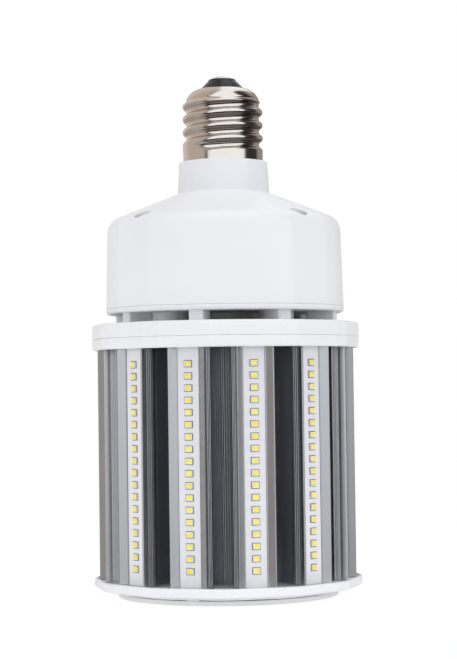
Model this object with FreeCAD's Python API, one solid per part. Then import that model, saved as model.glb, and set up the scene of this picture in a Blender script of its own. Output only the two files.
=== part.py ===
import FreeCAD, Part
import math
import os
from FreeCAD import Vector

# A high output corn lamp that stands on its free end, screw base up.
# Twelve extruded heat sink staves carry the strips of light emitting diodes.
# They stand between two moulded end caps and leave an open air core.
# Above them a vented ring lets the warm air out below the driver drum.
# Millimetres, Z up, the origin is the centre of the bottom face, the front is -Y.

# Staves and their ring
stave_count = 12
stave_visible = 111.3
tip_radius = 62.6
tip_half_width = 8.8
recess_depth = 4.3
lip_depth = 3.1
wing_half_width = 11.4
wing_depth = 5.3
head_back_depth = 7.2
web_half = 1.6
port_shift = 2.5
port_outer = 3.3
port_bore = 1.5
flange_outer_radius = 37.6
flange_thickness = 3.2
stave_gap_angle = 0.3
rib_depth = 0.5
rib_pitch = 1.3

# Strips of diodes
board_half_width = 5.2
board_thickness = 1.0
board_end_gap = 0.3
board_clearance = 0.1
tongue_width = 3.0
tongue_rise = 3.6
link_thickness = 1.0
led_count = 18
led_pitch = 5.66
led_width = 3.5
led_height = 2.8
led_thickness = 0.8
first_led_drop = 7.6

# Bottom cover and bottom end cap
cover_step = 3.2
cover_thickness = 2.4
cover_edge = 1.0
cover_slit = 0.8
pad_width = 6.0
pad_length = 2.5
boss_step = 8.7
boss_height = 2.1
head_room = 0.7
ring_overhang = 3.3
narrow_facet_angle = 8.0
facet_rounding = 3.0
bottom_flange = 4.5
flange_edge = 0.9
stave_seat_depth = 0.6
cap_plate = 2.4
core_rim = 4.4
lip_width = 1.9
pad_first = -16.0
cover_screw_inset = 8.0
cover_counterbore = 1.2

# Top end cap and vent ring
skirt_height = 5.4
skirt_edge = 1.3
ring_height = 7.2
ring_edge = 1.6
ring_wall = 2.2
vent_gap = 4.9
rib_count = 8
vent_rib_width = 7.0
vent_rib_step = 10.4
vent_rib_length = 11.8
vent_rib_first = -12.0
tie_boss_count = 4
tie_boss_radius = 8.5
tie_inset = 13.0
tie_sleeve_radius = 4.8
tie_sleeve_height = 3.2
vent_hole_margin = 1.5

# Driver housing
base_plate = 2.2
base_edge = 1.5
drum_height = 39.0
face_radius_low = 58.6
face_radius_high = 57.4
corner_radius_low = 60.4
corner_radius_high = 60.2
corner_half_angle = 10.5
crease_radius = 9.0
housing_wall = 2.2
cone_slope_deg = 20.7
cone_foot_radius = 51.8
cone_foot_height = 46.7
shoulder_radius = 7.5
neck_foot_radius = 22.7
neck_top_radius = 21.9
neck_height = 15.4
neck_blend = 3.0
spigot_height = 3.5
spigot_wall = 2.4
pocket_circle_radius = 52.5
pocket_radius = 4.0
pocket_floor = 34.0
column_radius = 5.4
base_spigot_height = 4.0
base_spigot_wall = 2.0
base_sleeve_radius = 3.6
column_start = 6.0
grommet_radius = 4.5
grommet_offset = 18.0

# Screw base
shell_radius = 19.65
shell_height = 36.4
shell_collar = 5.6
collar_radius = 19.75
thread_pitch = 6.45
thread_depth = 1.75
thread_rise = 3.85
thread_fade = 3.2
root_land = 0.12
shell_wall = 0.5
shell_dome = 5.4
shell_mouth_radius = 10.1
insulator_top_radius = 6.9
insulator_cone = 4.2
insulator_plug_depth = 8.0
contact_radius = 6.2
contact_height = 1.8
contact_stem_radius = 1.6

# Driver
driver_half = 33.0
driver_chamfer = 8.0
driver_thickness = 1.6
post_edge = 5.0
post_radius = 3.0
post_height = 6.2
core_width = 28.0
core_depth = 22.0
core_height = 24.0
capacitor_radius = 6.3
capacitor_height = 25.0
choke_radius = 9.0
choke_bore = 4.0
choke_height = 9.0
film_width = 17.0
film_depth = 8.0
film_height = 12.0
lead_radius = 0.9

# Fasteners and fits
screw_radius = 1.5
screw_head_radius = 2.9
screw_head_height = 1.9
screw_length = 9.0
fit_gap = 0.1
slide_gap = 0.2

# Radii worked out from the sizes above
recess_radius = tip_radius - recess_depth
lip_radius = tip_radius - lip_depth
wing_radius = tip_radius - wing_depth
head_back_radius = tip_radius - head_back_depth
port_radius = (flange_outer_radius + head_back_radius) / 2 + port_shift
flange_inner_radius = flange_outer_radius - flange_thickness
core_hole_radius = flange_inner_radius - core_rim
ring_corner_radius = tip_radius + ring_overhang
boss_radius = ring_corner_radius - boss_step
cover_radius = boss_radius - cover_step
cap_pocket_radius = port_radius + screw_head_radius + head_room
cover_screw_radius = port_radius - cover_screw_inset
tie_radius = port_radius - tie_inset
vent_hole_radius = tie_radius - tie_boss_radius - vent_hole_margin
vent_rib_outer = ring_corner_radius - vent_rib_step
vent_rib_inner = vent_rib_outer - vent_rib_length
post_circle_radius = driver_half - post_edge

# Levels worked out from the sizes above
z_cover_top = cover_thickness
z_boss = z_cover_top + cover_slit
z_flange = z_boss + boss_height
z_flange_top = z_flange + bottom_flange
z_seat = z_flange_top - stave_seat_depth
z_skirt = z_flange_top + stave_visible
z_cap_top = z_skirt + skirt_height
z_stave_top = z_cap_top - cap_plate
z_deck = z_cap_top + ring_height
z_base = z_deck + vent_gap
z_housing = z_base + base_plate
z_neck = z_housing + cone_foot_height + (cone_foot_radius - neck_foot_radius) * math.tan(
    math.radians(cone_slope_deg))
z_neck_top = z_neck + neck_height
z_collar = z_neck_top + shell_collar
z_shell_top = z_neck_top + shell_height
z_shell_dome = z_shell_top - shell_dome
z_insulator_top = z_shell_top + insulator_cone
z_contact_top = z_insulator_top + contact_height
z_driver = z_housing + post_height
stave_length = z_stave_top - z_seat
stave_half_angle = 180.0 / stave_count - stave_gap_angle
stave_step = 360.0 / stave_count

Z = Vector(0, 0, 1)
ORIGIN = Vector(0, 0, 0)


def polar(radius, azimuth, z=0.0):
    """A point at an azimuth measured from the front towards +X."""
    a = math.radians(azimuth)
    return Vector(radius * math.sin(a), -radius * math.cos(a), z)


def turned(shape, azimuth):
    """A copy of a shape made at the front, turned to its azimuth."""
    copy = shape.copy()
    copy.rotate(ORIGIN, Z, azimuth)
    return copy


def cylinder(radius, z0, z1, at=ORIGIN):
    return Part.makeCylinder(radius, z1 - z0, Vector(at.x, at.y, z0), Z)


def tube(outer, inner, z0, z1, at=ORIGIN):
    return cylinder(outer, z0, z1, at).cut(cylinder(inner, z0 - 1, z1 + 1, at))


def prism(points, z0, z1):
    """A closed outline of points, raised from z0 to z1."""
    corners = [Vector(p[0], p[1], z0) for p in points]
    face = Part.Face(Part.makePolygon(corners + corners[:1]))
    return face.extrude(Vector(0, 0, z1 - z0))


def revolved(points):
    """An outline of radius and height, turned round the axis."""
    corners = [Vector(r, 0, z) for r, z in points]
    face = Part.Face(Part.makePolygon(corners + corners[:1]))
    return face.revolve(ORIGIN, Z, 360)


def outer_edges_at(shape, z, min_radius):
    """The edges that lie flat at a height, outside a radius."""
    found = []
    for edge in shape.Edges:
        box = edge.BoundBox
        flat = abs(box.ZMin - z) < 1e-4 and abs(box.ZMax - z) < 1e-4
        middle = edge.valueAt((edge.FirstParameter + edge.LastParameter) / 2)
        if flat and math.hypot(middle.x, middle.y) > min_radius:
            found.append(edge)
    return found


def facet_disc(z0, z1, inset=0.0):
    """The twenty four sided disc that both rings share: narrow facets between the staves."""
    radius = ring_corner_radius - inset
    points = []
    for k in range(stave_count):
        for side in (-0.5, 0.5):
            p = polar(radius, k * stave_step + side * narrow_facet_angle)
            points.append((p.x, p.y))
    disc = prism(points, z0, z1)
    upright = [e for e in disc.Edges if e.BoundBox.ZLength > (z1 - z0) / 2]
    return disc.makeFillet(facet_rounding, upright)


def screw(at, z_head, length, up=True):
    """A pan head screw; its head rests at z_head and its shank runs away from the head."""
    sign = 1 if up else -1
    head = Part.makeCylinder(screw_head_radius, screw_head_height, Vector(at.x, at.y, z_head),
                             Vector(0, 0, sign))
    head = head.makeFillet(screw_head_height * 0.4, [e for e in head.Edges if abs(
        e.BoundBox.ZMin - (z_head + sign * screw_head_height)) < 1e-6 and e.BoundBox.ZLength < 1e-6])
    shank = Part.makeCylinder(screw_radius, length, Vector(at.x, at.y, z_head), Vector(0, 0, -sign))
    return head.fuse(shank)


# Heat sink staves

def stave_outline():
    """Right half of the extrusion's section, front centre to back centre, as (u, w) points."""
    recess_half = board_half_width + board_clearance
    half = [(recess_half, recess_radius), (recess_half, lip_radius)]
    half += [(tip_half_width - 0.4, tip_radius - 0.15), (tip_half_width, tip_radius)]
    half += [(tip_half_width + 0.3, tip_radius - 0.5)]
    step = (wing_half_width - tip_half_width) / 3
    drop = (lip_radius - wing_radius) / 3
    for k in range(3):
        foot_u = tip_half_width + 0.2 + k * step
        foot_w = lip_radius - 0.9 - k * drop
        half += [(foot_u, foot_w), (foot_u + step * 0.55, foot_w + 0.25)]
    half += [(wing_half_width, wing_radius - 1.0), (wing_half_width - 0.6, head_back_radius)]
    half += [(web_half + 2.0, head_back_radius - 0.6), (web_half, head_back_radius - 2.2)]
    return half


def flange_outline():
    """The ribbed inner flange of the right half, from the web out and back to the middle."""
    edge = math.tan(math.radians(stave_half_angle))
    half = [(web_half, flange_outer_radius + 1.2), (web_half + 0.9, flange_outer_radius)]
    u = web_half + 0.9
    while u + 2 * rib_pitch < flange_outer_radius * edge:
        half += [(u + rib_pitch * 0.35, flange_outer_radius - rib_depth)]
        half += [(u + rib_pitch, flange_outer_radius)]
        u += rib_pitch
    half += [(flange_outer_radius * edge, flange_outer_radius)]
    half += [(flange_inner_radius * edge, flange_inner_radius)]
    return half


def stave():
    """One extrusion: board channel, reflector lips, ribbed wings, web, screw port and flange."""
    right = stave_outline() + flange_outline()
    left = [(-u, w) for u, w in reversed(right)]
    body = prism([(u, -w) for u, w in right + left], z_seat, z_stave_top)
    port = Vector(0, -port_radius, 0)
    body = body.fuse(cylinder(port_outer, z_seat, z_stave_top, port))
    return body.cut(cylinder(port_bore, z_seat - 1, z_stave_top + 1, port)).removeSplitter()


def led_board():
    """The white strip that lies in the channel of a stave, with a tongue up into the link board."""
    front = -recess_radius - board_thickness
    strip = Part.makeBox(2 * board_half_width, board_thickness, stave_length - 2 * board_end_gap,
                         Vector(-board_half_width, front, z_seat + board_end_gap))
    tongue = Part.makeBox(tongue_width, board_thickness, tongue_rise + 1,
                          Vector(-tongue_width / 2, front, z_stave_top - board_end_gap - 1))
    return strip.fuse(tongue).removeSplitter()


def leds():
    """The diode packages of one strip."""
    face = recess_radius + board_thickness
    packages = []
    for k in range(led_count):
        z = z_skirt - first_led_drop - k * led_pitch
        packages.append(Part.makeBox(led_width, led_thickness, led_height,
                                     Vector(-led_width / 2, -face - led_thickness,
                                            z - led_height / 2)))
    return Part.makeCompound(packages)


def at_every_stave(shape):
    return [turned(shape, (k + 0.5) * stave_step) for k in range(stave_count)]


def port_screws(z_head, up):
    at = Vector(0, -port_radius, 0)
    return Part.makeCompound(at_every_stave(screw(at, z_head, screw_length, up)))


# Bottom cover and end caps

def cover_screw_points():
    return [polar(cover_screw_radius, 90 * k) for k in range(4)]


def bottom_cover():
    """A plain disc with spacer pads that hold the air slit open."""
    disc = cylinder(cover_radius, 0, z_cover_top)
    disc = disc.makeFillet(cover_edge, outer_edges_at(disc, 0, cover_radius - 0.1))
    for k in range(4):
        pad = Part.makeBox(pad_width, pad_length, cover_slit + 0.4,
                           Vector(-pad_width / 2, -cover_radius + 0.3, z_cover_top - 0.4))
        disc = disc.fuse(turned(pad, pad_first + 90 * k))
    for p in cover_screw_points():
        disc = disc.cut(cylinder(screw_radius + fit_gap, -1, z_cover_top + 1, p))
        disc = disc.cut(cylinder(screw_head_radius + fit_gap, -1, cover_counterbore, p))
    return disc


def cover_screws():
    heads = []
    for p in cover_screw_points():
        head = cylinder(screw_head_radius, cover_counterbore * 0.25, cover_counterbore, p)
        heads.append(head.fuse(cylinder(screw_radius, cover_counterbore, z_seat - 1.0, p)))
    return Part.makeCompound(heads)


def bottom_end_cap():
    """Round boss below, faceted flange above, with a low rim round the feet of the staves."""
    flange = facet_disc(z_flange, z_flange_top)
    edges = outer_edges_at(flange, z_flange_top, ring_corner_radius * 0.9)
    edges += outer_edges_at(flange, z_flange, ring_corner_radius * 0.9)
    cap = flange.makeFillet(flange_edge, edges)
    cap = cap.cut(cylinder(ring_corner_radius - lip_width, z_seat, z_flange_top + 1))
    cap = cap.fuse(cylinder(boss_radius, z_boss, z_flange + 0.5))
    z_pocket = z_seat - cap_plate
    pocket = tube(cap_pocket_radius, core_hole_radius + 2.0, z_boss - 1, z_pocket)
    for p in cover_screw_points():
        pocket = pocket.cut(cylinder(screw_head_radius + 1.5, z_boss - 2, z_pocket + 1, p))
    cap = cap.cut(pocket)
    for p in cover_screw_points():
        cap = cap.fuse(cylinder(screw_head_radius + 1.5, z_cover_top, z_boss + 1, p))
        cap = cap.cut(cylinder(screw_radius, z_cover_top - 1, z_seat - 0.8, p))
    cap = cap.cut(cylinder(core_hole_radius, z_boss - 1, z_flange_top + 1))
    for p in at_every_stave(Part.Vertex(0, -port_radius, 0)):
        cap = cap.cut(cylinder(screw_radius + fit_gap, z_boss, z_flange_top, p.Point))
    return cap


def top_end_cap():
    """The plate and skirt that close the tops of the staves."""
    cap = facet_disc(z_skirt, z_cap_top)
    cap = cap.makeFillet(skirt_edge, outer_edges_at(cap, z_skirt, ring_corner_radius * 0.9))
    cap = cap.cut(cylinder(ring_corner_radius - lip_width, z_skirt - 1, z_stave_top))
    for k in range(tie_boss_count):
        p = polar(tie_radius, 45 + 90 * k)
        cap = cap.fuse(cylinder(tie_sleeve_radius, z_stave_top, z_cap_top + tie_sleeve_height, p))
    cap = cap.cut(cylinder(core_hole_radius, z_skirt - 1, z_cap_top + 1))
    for k in range(tie_boss_count):
        p = polar(tie_radius, 45 + 90 * k)
        cap = cap.cut(cylinder(screw_radius, z_stave_top + 0.5, z_cap_top + 9, p))
    for p in at_every_stave(Part.Vertex(0, -port_radius, 0)):
        cap = cap.cut(cylinder(screw_radius + fit_gap, z_skirt, z_cap_top + 1, p.Point))
    return cap.cut(Part.makeCompound(at_every_stave(tongue_slot())))


def vent_ring():
    """Faceted ring and deck with eight ribs and four bosses that carry the driver housing."""
    ring = facet_disc(z_cap_top, z_deck)
    ring = ring.makeFillet(ring_edge, outer_edges_at(ring, z_deck, ring_corner_radius * 0.9))
    inside = ring_corner_radius * math.cos(math.radians(stave_step / 2 - narrow_facet_angle / 2))
    ring = ring.cut(cylinder(inside - ring_wall, z_cap_top - 1, z_deck - ring_wall))
    length = vent_rib_outer - vent_rib_inner
    rib = Part.makeBox(vent_rib_width, length, vent_gap + 0.5,
                       Vector(-vent_rib_width / 2, -vent_rib_outer, z_deck - 0.5))
    for k in range(rib_count):
        ring = ring.fuse(turned(rib, vent_rib_first + k * 360 / rib_count))
    for k in range(tie_boss_count):
        ring = ring.fuse(cylinder(tie_boss_radius, z_cap_top, z_base,
                                  polar(tie_radius, 45 + 90 * k)))
    ring = ring.cut(cylinder(vent_hole_radius, z_cap_top - 1, z_base + 1))
    for k in range(tie_boss_count):
        p = polar(tie_radius, 45 + 90 * k)
        ring = ring.cut(cylinder(screw_radius + fit_gap, z_cap_top - 1, z_base + 1, p))
        ring = ring.cut(cylinder(tie_sleeve_radius + fit_gap, z_cap_top - 1,
                                 z_cap_top + tie_sleeve_height + fit_gap, p))
    return ring.removeSplitter()


# Driver housing

def drum_outline(face_radius, corner_radius, z):
    """Four bowed faces and four narrow corner facets with rounded creases, as one wire."""
    edges = []
    for k in range(4):
        left = polar(corner_radius, 90 * k - 45 + corner_half_angle, z)
        right = polar(corner_radius, 90 * k + 45 - corner_half_angle, z)
        following = polar(corner_radius, 90 * k + 45 + corner_half_angle, z)
        edges.append(Part.Arc(left, polar(face_radius, 90 * k, z), right).toShape())
        edges.append(Part.LineSegment(right, following).toShape())
    return Part.Wire(edges)


def drafted(low, high, z):
    """A drum radius at a height, on the straight draft from the foot to the shoulder."""
    return low + (high - low) * (z - z_housing) / drum_height


def drum(inset, z0, z1):
    """The drafted drum between two outlines, its upright creases rounded."""
    rings = []
    for z in (z0, z1):
        rings.append(drum_outline(drafted(face_radius_low, face_radius_high, z) - inset,
                                  drafted(corner_radius_low, corner_radius_high, z) - inset, z))
    body = Part.makeLoft(rings, True, True)
    upright = [e for e in body.Edges if e.BoundBox.ZLength > (z1 - z0) / 2]
    return body.makeFillet(crease_radius - inset, upright)


def cone_apex(inset):
    slope = math.radians(cone_slope_deg)
    return (z_housing + cone_foot_height + cone_foot_radius * math.tan(slope)
            - inset / math.cos(slope))


def cone_cap(inset):
    """Everything below the cone, moved inwards square to it by the inset."""
    reach = 1.5 * corner_radius_low
    drop = reach * math.tan(math.radians(cone_slope_deg))
    return revolved([(0, z_base - 5), (reach, z_base - 5), (reach, cone_apex(inset) - drop),
                     (0, cone_apex(inset))])


def drum_body(inset, z0):
    """Drum and cone with the shoulder between them rounded."""
    body = drum(inset, z0, cone_apex(inset) + 1).common(cone_cap(inset))
    rim = [e for e in body.Edges if e.BoundBox.ZMin > z_housing + drum_height - 4
           and math.hypot(e.CenterOfMass.x, e.CenterOfMass.y) > cone_foot_radius - inset - 2]
    return body.makeFillet(shoulder_radius - inset, rim)


def neck(inset, z_top):
    blend = z_neck - neck_blend
    return revolved([(0, z_neck - 8), (neck_foot_radius - inset, z_neck - 8),
                     (neck_foot_radius - inset, blend), (neck_foot_radius - inset, z_neck),
                     (neck_top_radius - inset, z_top), (0, z_top)])


def driver_housing():
    """The moulded drum, cone and neck, with screw columns in its four corners."""
    shell = drum_body(0, z_housing).fuse(neck(0, z_neck_top))
    spigot = collar_radius - shell_wall - fit_gap
    shell = shell.fuse(cylinder(spigot, z_neck_top - 3, z_neck_top + spigot_height))
    hollow = drum_body(housing_wall, z_housing - 3)
    hollow = hollow.fuse(cylinder(spigot - spigot_wall, z_neck - 9, z_neck_top + spigot_height + 1))
    for k in range(4):
        column = cylinder(column_radius, z_housing + column_start,
                          z_housing + cone_foot_height, polar(pocket_circle_radius, 45 + 90 * k))
        hollow = hollow.cut(column)
    shell = shell.cut(hollow)
    for k in range(4):
        p = polar(pocket_circle_radius, 45 + 90 * k)
        shell = shell.cut(cylinder(pocket_radius, z_housing + pocket_floor,
                                   z_neck_top, p))
        shell = shell.cut(cylinder(screw_radius + fit_gap, z_housing, z_neck_top, p))
    return shell


def housing_base():
    """The plate that closes the housing from below, with its spigot, sleeves and board posts."""
    plate = Part.Face(drum_outline(face_radius_low, corner_radius_low, z_base)).extrude(
        Vector(0, 0, base_plate))
    upright = [e for e in plate.Edges if e.BoundBox.ZLength > base_plate / 2]
    plate = plate.makeFillet(crease_radius, upright)
    plate = plate.makeFillet(base_edge, outer_edges_at(plate, z_base, face_radius_low * 0.8))
    rim = face_radius_high - housing_wall - slide_gap
    plate = plate.fuse(tube(rim, rim - base_spigot_wall, z_housing - 0.5,
                            z_housing + base_spigot_height))
    for k in range(4):
        at = polar(pocket_circle_radius, 45 + 90 * k)
        plate = plate.cut(cylinder(column_radius + slide_gap, z_housing,
                                   z_housing + column_start + 1, at))
        plate = plate.fuse(cylinder(base_sleeve_radius, z_housing - 0.5,
                                    z_housing + column_start, at))
        plate = plate.cut(cylinder(screw_radius, z_base + 0.8, z_housing + column_start + 1, at))
        plate = plate.cut(cylinder(screw_radius + fit_gap, z_base - 1, z_housing + 1,
                                   polar(tie_radius, 45 + 90 * k)))
        post = cylinder(post_radius, z_housing - 0.5, z_driver, polar(post_circle_radius, 90 * k))
        plate = plate.fuse(post.cut(cylinder(screw_radius, z_housing + 0.5, z_driver + 1,
                                             polar(post_circle_radius, 90 * k))))
    return plate.cut(cylinder(grommet_radius, z_base - 1, z_housing + 1, Vector(grommet_offset, 0, 0)))


def tie_screws():
    """Through the base plate and the vent ring bosses into the sleeves of the top end cap."""
    length = z_housing - z_stave_top - 0.8
    return Part.makeCompound([screw(polar(tie_radius, 45 + 90 * k), z_housing, length)
                              for k in range(tie_boss_count)])


def housing_screws():
    """Down the corner columns of the housing into the sleeves of the base plate."""
    length = pocket_floor - column_start + 4.5
    return Part.makeCompound([screw(polar(pocket_circle_radius, 45 + 90 * k), z_housing + pocket_floor,
                                    length) for k in range(4)])


# Screw base

def thread_ridge():
    """One rounded ridge of equal crest and root arcs, swept up a right hand helix."""
    root = shell_radius - thread_depth
    half = thread_pitch / 2 * 0.995
    z0 = z_neck_top + thread_rise - thread_pitch / 4
    z1 = z_shell_dome
    lean = math.atan2(half, thread_depth)
    bow = (half ** 2 + thread_depth ** 2) / (4 * thread_depth)
    turn = 2 * (math.pi / 2 - lean)
    dip = bow * (1 - math.cos(turn / 2))
    run = bow * math.sin(turn / 2)
    middle_r = root + thread_depth / 2

    def at(r, z):
        return Vector(r, 0, z)

    low = Part.Arc(at(root, -half), at(root + dip, -half + run), at(middle_r, -half / 2))
    crest = Part.Arc(at(middle_r, -half / 2), at(shell_radius, 0), at(middle_r, half / 2))
    high = Part.Arc(at(middle_r, half / 2), at(root + dip, half - run), at(root, half))
    back = root - 1.2
    sides = [Part.LineSegment(at(root, half), at(back, half)),
             Part.LineSegment(at(back, half), at(back, -half)),
             Part.LineSegment(at(back, -half), at(root, -half))]
    profile = Part.Wire([c.toShape() for c in (low, crest, high)] + [c.toShape() for c in sides])
    helix = Part.makeHelix(thread_pitch, z1 - z0, shell_radius)
    ridge = Part.Wire(helix).makePipeShell([profile], True, True)
    ridge = ridge if ridge.ShapeType == "Solid" else Part.Solid(ridge)
    ridge.translate(Vector(0, 0, z0))
    ridge.rotate(ORIGIN, Z, -90)
    return ridge


def thread_limits():
    """The body that the ridge is kept inside: cut square in the collar, faded below the dome."""
    sunk = shell_radius - thread_depth - 0.6
    reach = shell_radius + 1.0
    z_fade = z_shell_dome - thread_fade
    return revolved([(0, z_neck_top + 0.4), (reach, z_neck_top + 0.4), (reach, z_fade - 1.0),
                     (sunk, z_fade + thread_fade), (0, z_fade + thread_fade)])


def shell_core():
    """Collar, barrel at the root of the thread and the domed end, without the ridge."""
    barrel = shell_radius - thread_depth + root_land
    outline = [(0, z_neck_top), (collar_radius, z_neck_top), (collar_radius, z_collar),
               (barrel, z_collar), (barrel, z_shell_dome)]
    corners = [Vector(r, 0, z) for r, z in outline]
    edges = [Part.LineSegment(a, b).toShape() for a, b in zip(corners, corners[1:])]
    mouth = Vector(shell_mouth_radius, 0, z_shell_top)
    bulge = Vector(shell_mouth_radius + (barrel - shell_mouth_radius) * 0.69, 0,
                   z_shell_dome + shell_dome * 0.73)
    edges.append(Part.Arc(corners[-1], bulge, mouth).toShape())
    edges.append(Part.LineSegment(mouth, Vector(0, 0, z_shell_top)).toShape())
    edges.append(Part.LineSegment(Vector(0, 0, z_shell_top), corners[0]).toShape())
    return Part.Face(Part.Wire(edges)).revolve(ORIGIN, Z, 360)


def root_bore():
    return shell_radius - thread_depth - shell_wall


def screw_shell():
    """The rolled nickel plated shell, plain inside its thread."""
    shell = shell_core().fuse(thread_ridge().common(thread_limits()))
    z_crown = z_shell_dome - 0.4
    bore = revolved([(0, z_neck_top - 1), (collar_radius - shell_wall, z_neck_top - 1),
                     (collar_radius - shell_wall, z_collar - 1.6),
                     (root_bore(), z_collar - 1.6), (root_bore(), z_crown),
                     (shell_mouth_radius, z_shell_top - shell_wall),
                     (shell_mouth_radius, z_shell_top + 1), (0, z_shell_top + 1)])
    return shell.cut(bore)


def base_insulator():
    """The dark moulded insulator that closes the shell and carries the centre contact."""
    slope = (shell_mouth_radius - root_bore()) / (z_shell_top - shell_wall - z_shell_dome + 0.4)
    rim = root_bore() - 3.0
    z_rim = z_shell_dome - 0.4 + (rim - root_bore()) / slope - slide_gap * 2
    throat = shell_mouth_radius - fit_gap
    z_throat = z_shell_dome - 0.4 + (throat - root_bore()) / slope - slide_gap * 2
    outline = [(contact_stem_radius + fit_gap / 2, z_rim - insulator_plug_depth),
               (rim, z_rim - insulator_plug_depth), (rim, z_rim), (throat, z_throat),
               (throat, z_shell_top), (insulator_top_radius, z_insulator_top - 0.6),
               (insulator_top_radius, z_insulator_top),
               (contact_stem_radius + fit_gap / 2, z_insulator_top)]
    return revolved(outline)


def centre_contact():
    """A domed contact on a stem that runs down through the insulator."""
    ball = (contact_radius ** 2 + contact_height ** 2) / (2 * contact_height)
    dome = Part.makeSphere(ball, Vector(0, 0, z_contact_top - ball))
    dome = dome.common(cylinder(contact_radius, z_insulator_top, z_contact_top + 1))
    return dome.fuse(cylinder(contact_stem_radius, contact_foot(), z_insulator_top + 0.5))


def contact_foot():
    return z_shell_dome - insulator_plug_depth - 3.0


# Driver

def driver_board():
    c = driver_half - driver_chamfer
    h = driver_half
    outline = [(c, -h), (h, -c), (h, c), (c, h), (-c, h), (-h, c), (-h, -c), (-c, -h)]
    board = prism(outline, z_driver, z_driver + driver_thickness)
    for k in range(4):
        board = board.cut(cylinder(screw_radius + fit_gap, z_driver - 1,
                                   z_driver + driver_thickness + 1, polar(post_circle_radius, 90 * k)))
    return board


def driver_board_screws():
    return Part.makeCompound([screw(polar(post_circle_radius, 90 * k), z_driver + driver_thickness,
                                    driver_thickness + 5.0) for k in range(4)])


def block(width, depth, height, x, y, z, rounding=0.0):
    """An upright block centred at x, y, its upright edges rounded."""
    body = Part.makeBox(width, depth, height, Vector(x - width / 2, y - depth / 2, z))
    if rounding:
        body = body.makeFillet(rounding, [e for e in body.Edges if e.BoundBox.ZLength > height / 2])
    return body


z_parts = z_driver + driver_thickness
transformer_at = (-11.0, 9.0)


def transformer_core():
    x, y = transformer_at
    limb = core_width * 0.18
    core = block(core_width, core_depth * 0.6, core_height, x, y, z_parts)
    window = (core_width - 4 * limb) / 2
    for side in (-1, 1):
        core = core.cut(block(window, core_depth, core_height - 2 * limb,
                              x + side * (limb + window / 2), y, z_parts + limb))
    return core


def transformer_coil():
    x, y = transformer_at
    limb = core_width * 0.18
    width = core_width - 2 * limb - 2 * fit_gap
    height = core_height - 2 * limb - 2 * fit_gap
    coil = block(width, core_depth, height, x, y, z_parts + limb + fit_gap, 3.0)
    return coil.cut(block(2 * limb + 2 * fit_gap, core_depth * 0.6 + 2 * fit_gap, height + 2,
                          x, y, z_parts + limb - 1))


def driver_capacitors():
    cans = []
    for x, y in ((17.0, 13.0), (17.0, -1.5)):
        can = cylinder(capacitor_radius, z_parts, z_parts + capacitor_height, Vector(x, y, 0))
        cans.append(can.makeFillet(0.8, [e for e in can.Edges if e.BoundBox.ZLength < 1e-6]))
    cans.append(block(film_width, film_depth, film_height, 10.0, -17.5, z_parts, 1.0))
    return Part.makeCompound(cans)


def driver_choke():
    at = Vector(-14.0, -16.0, 0)
    ring = tube(choke_radius, choke_bore, z_parts, z_parts + choke_height, at)
    return ring.makeFillet(1.5, [e for e in ring.Edges if e.BoundBox.ZLength < 1e-6])


def link_board():
    """The ring that joins the twelve strips; each strip's tongue stands in one of its slots."""
    ring = tube(recess_radius + 2.2, recess_radius - 4.8, z_cap_top, z_cap_top + link_thickness)
    return ring.cut(Part.makeCompound(at_every_stave(tongue_slot())))


def tongue_slot():
    gap = slide_gap
    return Part.makeBox(tongue_width + 2 * gap, board_thickness + 2 * gap, tongue_rise + 8,
                        Vector(-tongue_width / 2 - gap, -recess_radius - board_thickness - gap,
                               z_stave_top - 2))


def lead(points):
    """A round lead along straight runs joined by tangent arcs."""
    corners = [Vector(*p) for p in points]
    edges = []
    start = corners[0]
    for before, corner, after in zip(corners, corners[1:], corners[2:]):
        back = (before - corner).normalize()
        on = (after - corner).normalize()
        turn = math.pi - back.getAngle(on)
        run = min((before - corner).Length, (after - corner).Length) * 0.45
        radius = run / math.tan(turn / 2)
        first = corner + back * run
        last = corner + on * run
        middle_way = (back + on).normalize()
        centre_distance = radius / math.cos(turn / 2)
        middle = corner + middle_way * (centre_distance - radius)
        edges.append(Part.LineSegment(start, first).toShape())
        edges.append(Part.Arc(first, middle, last).toShape())
        start = last
    edges.append(Part.LineSegment(start, corners[-1]).toShape())
    path = Part.Wire(edges)
    along = (corners[1] - corners[0]).normalize()
    ring = Part.Wire(Part.makeCircle(lead_radius, corners[0], along))
    tube_body = path.makePipeShell([ring], True, False)
    print("lead volume over section times length",
          round(tube_body.Volume / (math.pi * lead_radius ** 2 * path.Length), 4))
    return tube_body


def supply_leads():
    """One lead to the centre contact and one to the wall of the shell."""
    live = lead([(0, 0, contact_foot()), (0, 0, contact_foot() - 25), (6, -3, z_neck - 8),
                 (4, 5, z_parts + 20), (4, 5, z_parts)])
    wall = root_bore() - lead_radius - fit_gap
    shell = lead([(wall, 0, z_collar + 4), (wall - 2.2, 0, z_neck_top - 6),
                  (wall - 4, 4, z_neck - 8), (5, 22, z_parts + 18), (5, 22, z_parts)])
    return Part.makeCompound([live, shell])


def led_leads():
    """Two leads from the driver through the base plate and the vent ring to the link board."""
    leads = []
    z_run = z_cap_top + link_thickness + 2.2
    end = recess_radius - 3.0
    for side in (-1, 1):
        near = side * 1.6
        leads.append(lead([(grommet_offset, near, z_driver), (grommet_offset, near, z_base - 2),
                           (grommet_offset + 6, side * 3, z_run), (end, side * 7, z_run),
                           (end, side * 7, z_cap_top + link_thickness)]))
    return Part.makeCompound(leads)


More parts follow.
